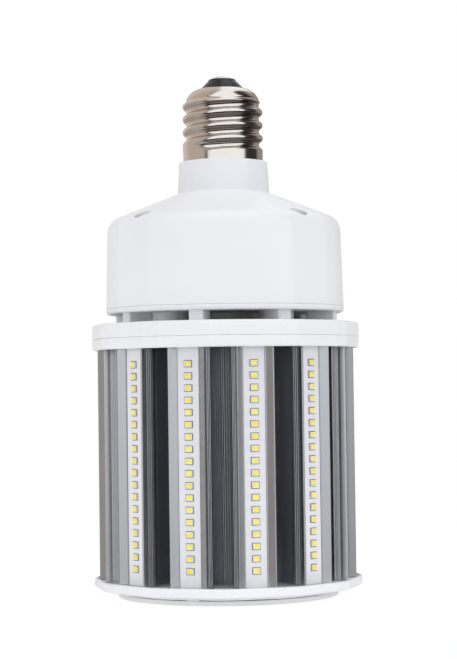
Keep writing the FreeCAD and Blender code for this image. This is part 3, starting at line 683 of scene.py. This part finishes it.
def drawn_metal():
    """Drawn metal: fine lines along its length, a cloudy oxidised tone and a satin that varies.

    Painted shade darkens what lies near the axis, deep between the staves, and painted shade
    darkens the downward faces of ridges, less on the left side.
    """
    group, given, told = effect(
        "drawn_metal", (("Tone", COLOUR), ("Roughness", FLOAT), ("Height", FLOAT)),
        (("Base", COLOUR, (0.6, 0.6, 0.6, 1)), ("Cloud", FLOAT, 0.5),
         ("Satin", FLOAT, 0.3), ("Lines", FLOAT, 900.0), ("Painted Core Shade", FLOAT, 0.0),
         ("Painted Underside Shade", FLOAT, 0.0)))
    where = add(group, "ShaderNodeTexCoord")
    long = add(group, "ShaderNodeMapping")
    long.inputs["Scale"].default_value = (1, 1, 0.012)
    lines = add(group, "ShaderNodeTexNoise", Detail=4.0)
    broad = add(group, "ShaderNodeTexNoise", Scale=35.0, Detail=3.0)
    join(group, where, "Object", long, "Vector")
    join(group, long, "Vector", lines, "Vector")
    join(group, given, "Lines", lines, "Scale")
    join(group, where, "Object", broad, "Vector")
    dull = add(group, "ShaderNodeMath", operation="ADD")
    join(group, lines, "Fac", dull, 0)
    join(group, broad, "Fac", dull, 1)
    grey = spread(group, 0.7, 1.3, 0.82, 1.08)
    join(group, dull, 0, grey, "Value")
    tone = add(group, "ShaderNodeMix", data_type="RGBA", blend_type="MULTIPLY")
    join(group, given, "Cloud", tone, 0)
    join(group, given, "Base", tone, 6)
    join(group, grey, "Result", tone, 7)
    # Painted shade: darker towards the axis, deep in the channels.
    level = add(group, "ShaderNodeVectorMath", operation="MULTIPLY")
    level.inputs[1].default_value = (1, 1, 0)
    radius = add(group, "ShaderNodeVectorMath", operation="LENGTH")
    inward = spread(group, *CORE_FADE, 1.0, 0.0)
    core = add(group, "ShaderNodeMath", operation="MULTIPLY")
    core_shade = add(group, "ShaderNodeMix", data_type="RGBA", blend_type="MULTIPLY")
    core_shade.inputs[7].default_value = CORE_PAINTED_SHADE
    join(group, where, "Object", level, 0)
    join(group, level, 0, radius, 0)
    join(group, radius, "Value", inward, "Value")
    join(group, inward, "Result", core, 0)
    join(group, given, "Painted Core Shade", core, 1)
    join(group, core, 0, core_shade, 0)
    # Painted shade on the downward faces of ridges, less on the left side.
    facing = add(group, "ShaderNodeSeparateXYZ")
    under = spread(group, *UNDERSIDES, 1.0, 0.0)
    side = add(group, "ShaderNodeSeparateXYZ")
    left_ease = spread(group, *SHADE_EASE_LEFT, SHADE_SHARE_LEFT, 1.0)
    shaded = add(group, "ShaderNodeMath", operation="MULTIPLY")
    underside_shade = add(group, "ShaderNodeMath", operation="MULTIPLY")
    dark = add(group, "ShaderNodeMix", data_type="RGBA", blend_type="MULTIPLY")
    dark.inputs[7].default_value = UNDERSIDE_SHADE_COLOUR
    join(group, where, "Normal", facing, 0)
    join(group, facing, "Z", under, "Value")
    join(group, where, "Object", side, 0)
    join(group, side, "X", left_ease, "Value")
    join(group, under, "Result", shaded, 0)
    join(group, left_ease, "Result", shaded, 1)
    join(group, shaded, 0, underside_shade, 0)
    join(group, given, "Painted Underside Shade", underside_shade, 1)
    join(group, underside_shade, 0, dark, 0)
    group.links.new(tone.outputs[2], core_shade.inputs[6])
    group.links.new(core_shade.outputs[2], dark.inputs[6])
    group.links.new(dark.outputs[2], told.inputs["Tone"])
    patch = add(group, "ShaderNodeMath", operation="MULTIPLY_ADD")
    patch.inputs[1].default_value = 0.16
    join(group, dull, 0, patch, 0)
    join(group, given, "Satin", patch, 2)
    join(group, patch, 0, told, "Roughness")
    join(group, lines, "Fac", told, "Height")
    return group


DRAWN = drawn_metal()
# The staves are darkened near the axis by painted shade.
aluminium = material("drawn_aluminium", DRAWN,
                     {"Base": (0.50, 0.505, 0.525), "Satin": 0.16, "Painted Core Shade": 0.6},
                     bump=0.35, depth=0.12, Metallic=1.0)
right = stave_section()
left = [(-u, w, r) for u, w, r in reversed(right)]
stave = extruded("staves", right + left, Z_SEAT, STAVE_TOP)
cut(stave, pegs("ports", PORT_HOLE, Z_SEAT - 1, STAVE_TOP + 1, [(0, -PORT_AT)], 16))
all_round(stave, aluminium, "stave_aluminium", ["heat_sink_%02d" % k for k in range(1, 13)])


# Diode strips
# Aluminium cored boards with a white solder mask, laid in the channels of the staves. Each ends in
# a tongue at its top, and carries a column of dark tin plated pads for its diodes. Each pad is
# wider than its diode, and its dark rim is partly the pad and partly a painted shadow round the
# diode.
BOARD_HALF, BOARD_THICK = 5.2, 1.0
BOARD_FRONT = CHANNEL_FLOOR + BOARD_THICK
BOARD_END = 0.3
BOARD_NODES = ["led_board_%02d" % k for k in range(1, 13)]
TONGUE = (3.0, 3.6)
PAD_SIZE, PAD_THICK = (4.1, 3.35), 0.06
DIODES, DIODE_PITCH, LOWEST_DIODE = 18, 5.66, 16.53

solder_mask = material("white_solder_mask", MOULDED,
                       {"Base": (0.76, 0.76, 0.79), "Cloud": 0.8, "Satin": 0.30, "Peel": 900.0},
                       bump=0.12, IOR=1.5)
# Dark pad metal: its rim round each diode is partly pad and partly painted shadow.
pad_and_shadow_tin = material("pads_and_painted_shadow", MOULDED,
                  {"Base": (0.16, 0.155, 0.17), "Satin": 0.35, "Peel": 900.0},
                  bump=0.2, Metallic=0.6)


def plate(points, faces, width, low, high, back, front, cut_edge):
    """Adds an upright plate at the front with cut corners: across, up and through."""
    brick(points, faces, (width, front - back, high - low),
          (0, -(front + back) / 2, (low + high) / 2), 0, cut_edge)


points, faces = [], []
strip_top = STAVE_TOP - BOARD_END
for width, foot, top in ((2 * BOARD_HALF, Z_SEAT + BOARD_END, strip_top),
                         (TONGUE[0], strip_top, strip_top + TONGUE[1])):
    plate(points, faces, width, foot, top, CHANNEL_FLOOR, BOARD_FRONT, 0.12)
strips = mesh_object("diode_strips", points, faces)
all_round(strips, solder_mask, "strip_white", BOARD_NODES)

# Pads wider than the diodes, whose dark rim stands partly for a painted shadow round each diode.
points, faces = [], []
plate(points, faces, PAD_SIZE[0], LOWEST_DIODE - PAD_SIZE[1] / 2, LOWEST_DIODE + PAD_SIZE[1] / 2,
      BOARD_FRONT, BOARD_FRONT + PAD_THICK, 0.02)
all_round(mesh_object("pad_plates_and_painted_shadow", points, faces), pad_and_shadow_tin, "strip_white", BOARD_NODES,
          rows=DIODES, pitch=DIODE_PITCH)


# Diode packages
# White moulded frames, each filled with yellow phosphor gel that sinks a little in the middle,
# soldered in a column down each strip.
DIODE = (3.5, 2.8, 0.8)
WINDOW_SIZE = (2.7, 2.05)
GEL_DEPTH = 0.14
DIODE_NODES = ["leds_%02d" % k for k in range(1, 13)]


def frame_block():
    """A diode package: a block with cut corners and a sunk window in its face."""
    points, faces = [], []
    thick = DIODE[2]
    for size, less, out in ((DIODE, 0.0, 0.0), (DIODE, 0.12, thick), (WINDOW_SIZE, 0.0, thick),
                            (WINDOW_SIZE, 0.15, thick - GEL_DEPTH)):
        w, h = size[0] / 2 - less, size[1] / 2 - less
        for x, z in ((-w, -h), (w, -h), (w, h), (-w, h)):
            points.append((x, -BOARD_FRONT - out, LOWEST_DIODE + z))
    for ring in range(3):
        for j in range(4):
            a, b = 4 * ring + j, 4 * ring + (j + 1) % 4
            faces.append((a, b, b + 4, a + 4))
    faces.append((12, 13, 14, 15))
    faces.append((3, 2, 1, 0))
    return mesh_object("diode_frames", points, faces, crease=20)


def gel():
    """The phosphor fill: a shallow dish of rounded outline inside the window."""
    points, faces = [], []
    count = 12
    for share, sink in ((1.0, 0.02), (0.55, 0.05)):
        for j in range(count):
            a = 2 * math.pi * (j + 0.5) / count
            x = WINDOW_SIZE[0] / 2 * math.copysign(abs(math.cos(a)) ** 0.45, math.cos(a))
            z = WINDOW_SIZE[1] / 2 * math.copysign(abs(math.sin(a)) ** 0.45, math.sin(a))
            points.append((x * share * 0.97, -BOARD_FRONT - DIODE[2] + sink,
                           LOWEST_DIODE + z * share))
    for j in range(count):
        k = (j + 1) % count
        faces.append((j, k, count + k, count + j))
    faces.append(tuple(range(count, 2 * count)))
    return mesh_object("phosphor", points, faces, crease=60)


def phosphor_gel():
    """Phosphor: a yellow that varies from deep to pale with a fine grain and a cloudy noise."""
    look = bpy.data.materials.new("phosphor_gel")
    tree = cleared(look)
    where = add(tree, "ShaderNodeTexCoord")
    grain = add(tree, "ShaderNodeTexNoise", Scale=2600.0, Detail=3.0)
    cloud = add(tree, "ShaderNodeTexNoise", Scale=420.0, Detail=2.0)
    join(tree, where, "Object", grain, "Vector")
    join(tree, where, "Object", cloud, "Vector")
    amount = add(tree, "ShaderNodeMath", operation="MULTIPLY_ADD")
    amount.inputs[1].default_value = 0.4
    join(tree, grain, "Fac", amount, 0)
    join(tree, cloud, "Fac", amount, 2)
    tone = colours(tree, [(0.35, (0.86, 0.66, 0.045)), (0.7, (0.90, 0.76, 0.09)),
                          (1.0, (0.93, 0.84, 0.25))])
    join(tree, amount, 0, tone, "Fac")
    relief = add(tree, "ShaderNodeBump", Strength=0.15, Distance=0.02 * MM)
    join(tree, grain, "Fac", relief, "Height")
    body = add(tree, "ShaderNodeBsdfPrincipled", Roughness=0.4, IOR=1.45)
    join(tree, tone, "Color", body, "Base Color")
    join(tree, relief, "Normal", body, "Normal")
    out = add(tree, "ShaderNodeOutputMaterial")
    join(tree, body, "BSDF", out, "Surface")
    return look


package_white = material("package_white", MOULDED, {"Base": (0.82, 0.80, 0.70), "Peel": 900.0},
                         bump=0.05, IOR=1.5)
all_round(frame_block(), package_white, "diode_package", DIODE_NODES, rows=DIODES,
          pitch=DIODE_PITCH)
all_round(gel(), phosphor_gel(), "diode_package", DIODE_NODES, rows=DIODES, pitch=DIODE_PITCH)


# Top end cap
# The moulded plate that closes the tops of the staves. Its skirt has the same facets as the foot,
# a soft lower edge, and a slight edge above that leaves a fine line below the vent ring.
Z_SKIRT, Z_CAP_TOP = 120.35, 125.75
CAP_RIM = RING_CORNER - 3.2
JOINT_EDGE = 0.3

top_cap = faceted(
    "top_cap",
    [(CAP_RIM, Z_CAP_TOP, 0), (CORE_HOLE, Z_CAP_TOP, 0), (CORE_HOLE, STAVE_TOP, 0),
     (LIP_RADIUS, STAVE_TOP, 0), (LIP_RADIUS, Z_SKIRT + 0.4, 0)],
    [(LIP_INSET, Z_SKIRT, 0), (0, Z_SKIRT, 1.3), (0, Z_CAP_TOP, JOINT_EDGE),
     (SEAM_INSET, Z_CAP_TOP, 0)])
hand_over(top_cap, white_plastic, "white_plastic", "top_end_cap")


# Vent ring
# A faceted ring with a deck. Eight ribs stand on its rim and four round bosses further in, and
# carry the driver housing, so that the warm air of the core leaves between them.
Z_RING, Z_DECK, Z_BASE = Z_CAP_TOP + 0.05, 132.95, 137.85
RIB = (7.0, 14.0, 41.5)
RIB_FIRST = -12
BOSS = (8.5, 36.0)
VENT_HOLE = 26.0
DECK_THICK = 2.2
RING_WALL_AT = 62.2

vent = faceted(
    "vent_deck",
    [(CAP_RIM, Z_DECK, 0), (VENT_HOLE, Z_DECK, 0.5), (VENT_HOLE, Z_DECK - DECK_THICK, 0),
     (RING_WALL_AT, Z_DECK - DECK_THICK, 0), (RING_WALL_AT, Z_RING, 0)],
    [(SEAM_INSET, Z_RING, 0), (0, Z_RING, JOINT_EDGE), (0, Z_DECK, 1.6),
     (SEAM_INSET, Z_DECK, 0)])
hand_over(vent, white_plastic, "white_plastic", "vent_ring")
points, faces = [], []
brick(points, faces, (RIB[0], RIB[1], Z_BASE - Z_DECK + 0.3),
      (0, -RIB[2] - RIB[1] / 2, (Z_BASE + Z_DECK) / 2 - 0.15), 0, 0.7)
all_round(mesh_object("vent_ribs", points, faces), white_plastic, "white_plastic", ["vent_ring"],
          count=8, first=RIB_FIRST)
boss = pegs("vent_bosses", BOSS[0], Z_DECK - 0.4, Z_BASE, [(0, -BOSS[1])], 64)
all_round(boss, white_plastic, "white_plastic", ["vent_ring"], count=4, first=45.0)


# Housing base
# The moulded plate that closes the driver housing. Its rim shows as a narrow band below a fine
# seam. A short hollow hub under its middle leads the wires down past the open deck.
BASE_PLATE = 2.6
PLATE_HOLE = 6.0
DRUM_WALL, SEAM_EDGE = 4.0, 0.28
Z_HOUSING = Z_BASE + BASE_PLATE
FACE_RADIUS = (58.4, 57.3)
CORNER_RADIUS = (60.2, 60.1)
CORNER_HALF = 10.5
CREASE_ROUNDING = 9.0
HUB = (17.0, 15.0)


def drum_ring(level, inset, z, face_steps=14, crease_steps=6):
    """A level ring of the drum: four bowed faces, four narrow corners, rounded creases."""
    face = FACE_RADIUS[0] + (FACE_RADIUS[1] - FACE_RADIUS[0]) * level
    corner = CORNER_RADIUS[0] + (CORNER_RADIUS[1] - CORNER_RADIUS[0]) * level
    end = math.radians(45 - CORNER_HALF)
    chord, sag = corner * math.sin(end), face - corner * math.cos(end)
    bow = (chord ** 2 + sag ** 2) / (2 * sag)
    middle = face - bow
    wall = corner * math.cos(math.radians(CORNER_HALF)) - CREASE_ROUNDING
    s = math.sqrt(0.5)
    reach = bow - CREASE_ROUNDING
    lean = math.acos((wall - middle * s) / reach)
    swing = math.pi / 4 - lean
    cx, cy = reach * math.sin(swing), middle + reach * math.cos(swing)
    quarter = []
    for i in range(-face_steps, face_steps + 1):
        a = swing * i / face_steps
        quarter.append(((bow - inset) * math.sin(a), middle + (bow - inset) * math.cos(a)))
    for i in range(1, crease_steps + 1):
        a = swing + (math.pi / 4 - swing) * i / crease_steps
        quarter.append((cx + (CREASE_ROUNDING - inset) * math.sin(a),
                        cy + (CREASE_ROUNDING - inset) * math.cos(a)))
    for i in range(crease_steps):
        x, y = quarter[2 * face_steps + crease_steps - i]
        quarter.append((y, x))
    ring = []
    for k in range(4):
        c, d = math.cos(math.pi * k / 2), math.sin(math.pi * k / 2)
        ring += [(u * c + w * d, -(w * c - u * d), z) for u, w in quarter]
    return ring


def same_way(ring, radius, z):
    """A round ring with its points in the directions of another ring."""
    return [(radius * x / math.hypot(x, y), radius * y / math.hypot(x, y), z) for x, y, _ in ring]


foot = drum_ring(0, 0, Z_BASE)
rim = rounded([(-DRUM_WALL, Z_BASE, 0), (0, Z_BASE, 1.5), (0, Z_HOUSING, SEAM_EDGE),
               (-DRUM_WALL, Z_HOUSING, 0)])
rings = [same_way(foot, PLATE_HOLE, Z_BASE)]
rings += [drum_ring(0, -i, z) for i, z in rim]
rings += [same_way(foot, PLATE_HOLE, Z_HOUSING)]
base = mesh_object("housing_rim", *skin(rings, True), crease=24)
hand_over(base, white_plastic, "white_plastic", "housing_base")
hub = lathe("wire_hub", [(HUB[1], Z_DECK + 0.4, 0), (HUB[0], Z_DECK + 0.4, 0.5),
                         (HUB[0], Z_BASE, 0), (HUB[1], Z_BASE, 0)], 96, True)
hand_over(hub, white_plastic, "white_plastic", "housing_base")


# Driver housing
# One moulding in glossy white plastic: a drafted drum of four bowed faces and four narrow corner
# facets, a soft shoulder, a shallow cone and a neck. Four screw pockets sink into its corners.
Z_CONE_FOOT = 185.35
CONE_FOOT = 51.8
CONE_SLOPE = math.tan(math.radians(21.7))
SHOULDER = 8.0
NECK_FOOT, NECK_TOP, NECK_FILLET = 22.6, 21.75, 0.8
Z_NECK = Z_CONE_FOOT + (CONE_FOOT - NECK_FOOT) * CONE_SLOPE
Z_NECK_TOP = 212.57
DRUM_HEIGHT = 38.6
Z_DRUM = Z_HOUSING + 0.05
HOLLOW_TOP = (6.0, 25.0)
COLLAR_RADIUS, COLLAR_GAP = 19.65, 0.05
POCKET = (4.0, 52.5, 34.35)

low, high = drum_ring(0, 0, 0), drum_ring(1, 0, 0)
columns = []
for (lx, ly, _), (hx, hy, _) in zip(low, high):
    a, b = math.hypot(lx, ly), math.hypot(hx, hy)
    fall = (b - a) / DRUM_HEIGHT
    apex = Z_CONE_FOOT + CONE_FOOT * CONE_SLOPE
    meet = (apex - Z_HOUSING - a * CONE_SLOPE) / (1 + fall * CONE_SLOPE)
    path = rounded([(a - DRUM_WALL, Z_DRUM, 0), (a, Z_DRUM, SEAM_EDGE),
                    (a + fall * meet, Z_HOUSING + meet, SHOULDER),
                    (NECK_FOOT, Z_NECK, NECK_FILLET), (NECK_TOP, Z_NECK_TOP, 0.6),
                    (COLLAR_RADIUS + COLLAR_GAP, Z_NECK_TOP, 0),
                    (COLLAR_RADIUS + COLLAR_GAP, Z_NECK - 4, 0),
                    (a - HOLLOW_TOP[0], Z_HOUSING + HOLLOW_TOP[1], 0)], steps=8)
    x, y = lx / a, ly / a
    columns.append([(x * r, y * r, z) for r, z in path])
rings = [list(ring) for ring in zip(*columns)]
housing = mesh_object("driver_drum", *skin(rings, True), crease=30)
places = [polar(POCKET[1], 45 + 90 * k)[:2] for k in range(4)]
cut(housing, pegs("pockets", POCKET[0], Z_HOUSING + POCKET[2], Z_NECK_TOP, places, 40))
hand_over(housing, white_plastic, "white_plastic", "driver_housing")


# Screw shell
# Thin brass sheet rolled into a right hand thread, domed over at its end and nickel plated.
# The thread rises out of a plain collar and fades into the dome.
CREST_RADIUS, THREAD_DEPTH, THREAD_PITCH = 19.8, 1.85, 6.45
FIRST_CREST = Z_NECK_TOP + 5.29 - THREAD_PITCH / 4
GROOVE_START = 300.0
SHELL_TOP = Z_NECK_TOP + 36.4
DOME = 5.6
DOME_ARC = (10.085, -8.4, 8.47)
THREAD_END = (Z_NECK_TOP + 28.2, Z_NECK_TOP + 31.0)
MOUTH = 11.0
SHELL_WALL, SHELL_BORE, COLLAR_BORE = 0.5, 17.0, 18.5
SHELL_FOOT = Z_NECK_TOP - 3
SHELL_COLUMNS, SHELL_ROWS = 180, 230


def smooth(value, low, high):
    """From 0 to 1 between two limits, without a corner."""
    t = min(1.0, max(0.0, (value - low) / (high - low)))
    return t * t * (3 - 2 * t)


def shell_radius(azimuth, z):
    """The outside of the shell: collar, a thread of equal crest and root arcs, and the dome."""
    root = CREST_RADIUS - THREAD_DEPTH
    above_first = z - FIRST_CREST - THREAD_PITCH * azimuth / 360
    half = THREAD_PITCH / 2
    bow = (half ** 2 + THREAD_DEPTH ** 2) / (4 * THREAD_DEPTH)
    off = abs((above_first + half) % THREAD_PITCH - half)
    if off < half / 2:
        rise = THREAD_DEPTH - bow + math.sqrt(bow ** 2 - off ** 2)
    else:
        rise = bow - math.sqrt(bow ** 2 - (half - off) ** 2)
    if above_first < 0:
        groove = smooth(azimuth, GROOVE_START, 360) if above_first > -THREAD_PITCH else 0
        rise = THREAD_DEPTH - (THREAD_DEPTH - rise) * groove
    collar = COLLAR_RADIUS - root
    rise = min(rise, collar + (THREAD_DEPTH - collar) * smooth(z, FIRST_CREST, FIRST_CREST + 3))
    rise *= 1 - smooth(z, *THREAD_END)
    below = z - SHELL_TOP
    if below > -DOME:
        middle, height, radius = DOME_ARC
        root = min(root, middle + math.sqrt(radius ** 2 - (below - height) ** 2))
    return root + rise


heights = [SHELL_FOOT + (SHELL_TOP - SHELL_FOOT) * i / SHELL_ROWS for i in range(SHELL_ROWS + 1)]
azimuths = [360 * j / SHELL_COLUMNS for j in range(SHELL_COLUMNS)]
rings = [[polar(shell_radius(a, z), a, z) for a in azimuths] for z in heights]
for r, z in ((MOUTH - SHELL_WALL, SHELL_TOP), (MOUTH - SHELL_WALL, SHELL_TOP - SHELL_WALL),
             (SHELL_BORE, SHELL_TOP - DOME), (SHELL_BORE, Z_NECK_TOP + 4),
             (COLLAR_BORE, SHELL_FOOT)):
    rings.append([polar(r, a, z) for a in azimuths])
shell = mesh_object("screw_shell_skin", *skin(rings, True), crease=50)
# The thread's downward faces are darkened by painted shade, less on the left side.
nickel = material("nickel_plate", DRAWN,
                  {"Base": (0.70, 0.645, 0.60), "Cloud": 0.25, "Satin": 0.02, "Lines": 300.0,
                   "Painted Underside Shade": 1.0}, bump=0.02, Metallic=1.0)
hand_over(shell, nickel, "plated_shell", "screw_shell")


# Insulator and centre contact
# A plug of black moulding narrows up out of the shell's mouth and shines unevenly. On it sits
# the centre contact, a shallow dome of satin solder on a short stem.
Z_PLUG_TOP = SHELL_TOP + 4.75
Z_TIP = Z_PLUG_TOP + 1.8
flare = [(0.3, SHELL_TOP - 5, 0), (10.2, SHELL_TOP - 5, 0.5), (10.9, SHELL_TOP, 0.2),
         (8.2, SHELL_TOP + 2.8, 4.0), (6.9, Z_PLUG_TOP - 0.6, 0.4), (6.7, Z_PLUG_TOP, 0.2),
         (0.3, Z_PLUG_TOP, 0)]
plug = lathe("insulator_plug", flare, 96)
black = material("black_moulding", MOULDED, {"Base": (0.010, 0.010, 0.012), "Satin": 0.10},
                 bump=0.5, depth=0.3, IOR=1.38)
hand_over(plug, black, "dark_ceramic", "base_insulator")
CONTACT_RADIUS = 6.2
ball = (CONTACT_RADIUS ** 2 + (Z_TIP - Z_PLUG_TOP) ** 2) / (2 * (Z_TIP - Z_PLUG_TOP))
dome = [(0.2, Z_PLUG_TOP - 1, 0), (CONTACT_RADIUS, Z_PLUG_TOP - 1, 0)]
for step in range(13):
    lean = math.asin(CONTACT_RADIUS / ball) * (1 - step / 12.2)
    dome.append((ball * math.sin(lean), Z_TIP - ball + ball * math.cos(lean), 0))
contact = lathe("contact_dome", dome, 96)
tin = material("contact_solder", DRAWN, {"Base": (0.80, 0.80, 0.81), "Satin": 0.3, "Lines": 120.0},
               bump=0.3, depth=0.2, Metallic=1.0)
hand_over(contact, tin, "solder", "centre_contact")


# Fasteners, link board and driver
# Zinc plated screws, the ring of circuit board that joins the strips, and the driver inside the
# housing: its board, transformer, capacitors, choke and leads. These stay as the CAD has them.
zinc = material("zinc_plate", DRAWN, {"Base": (0.58, 0.58, 0.57), "Satin": 0.2}, bump=0.1,
                Metallic=1.0)
green_board = material("green_board", MOULDED, {"Base": (0.03, 0.14, 0.05), "Peel": 900.0},
                       bump=0.2, IOR=1.5)
ferrite = material("ferrite", MOULDED, {"Base": (0.03, 0.03, 0.033), "Satin": 0.5}, bump=0.4)
tape = material("winding_tape", MOULDED, {"Base": (0.62, 0.45, 0.05), "Satin": 0.3}, bump=0.2)
sleeve_black = material("capacitor_sleeve", MOULDED, {"Base": (0.02, 0.02, 0.03), "Satin": 0.2},
                        bump=0.1)
lead_red = material("lead_sleeve", MOULDED, {"Base": (0.55, 0.03, 0.02), "Satin": 0.35}, bump=0.1)
dress(zinc, "housing_screws", "tie_screws", "top_cap_screws", "bottom_cap_screws", "cover_screws",
      "driver_board_screws")
dress(green_board, "driver_board", "link_board")
dress(ferrite, "transformer_core")
dress(tape, "transformer_coil", "driver_choke")
dress(sleeve_black, "driver_capacitors")
dress(lead_red, "supply_leads", "led_leads")
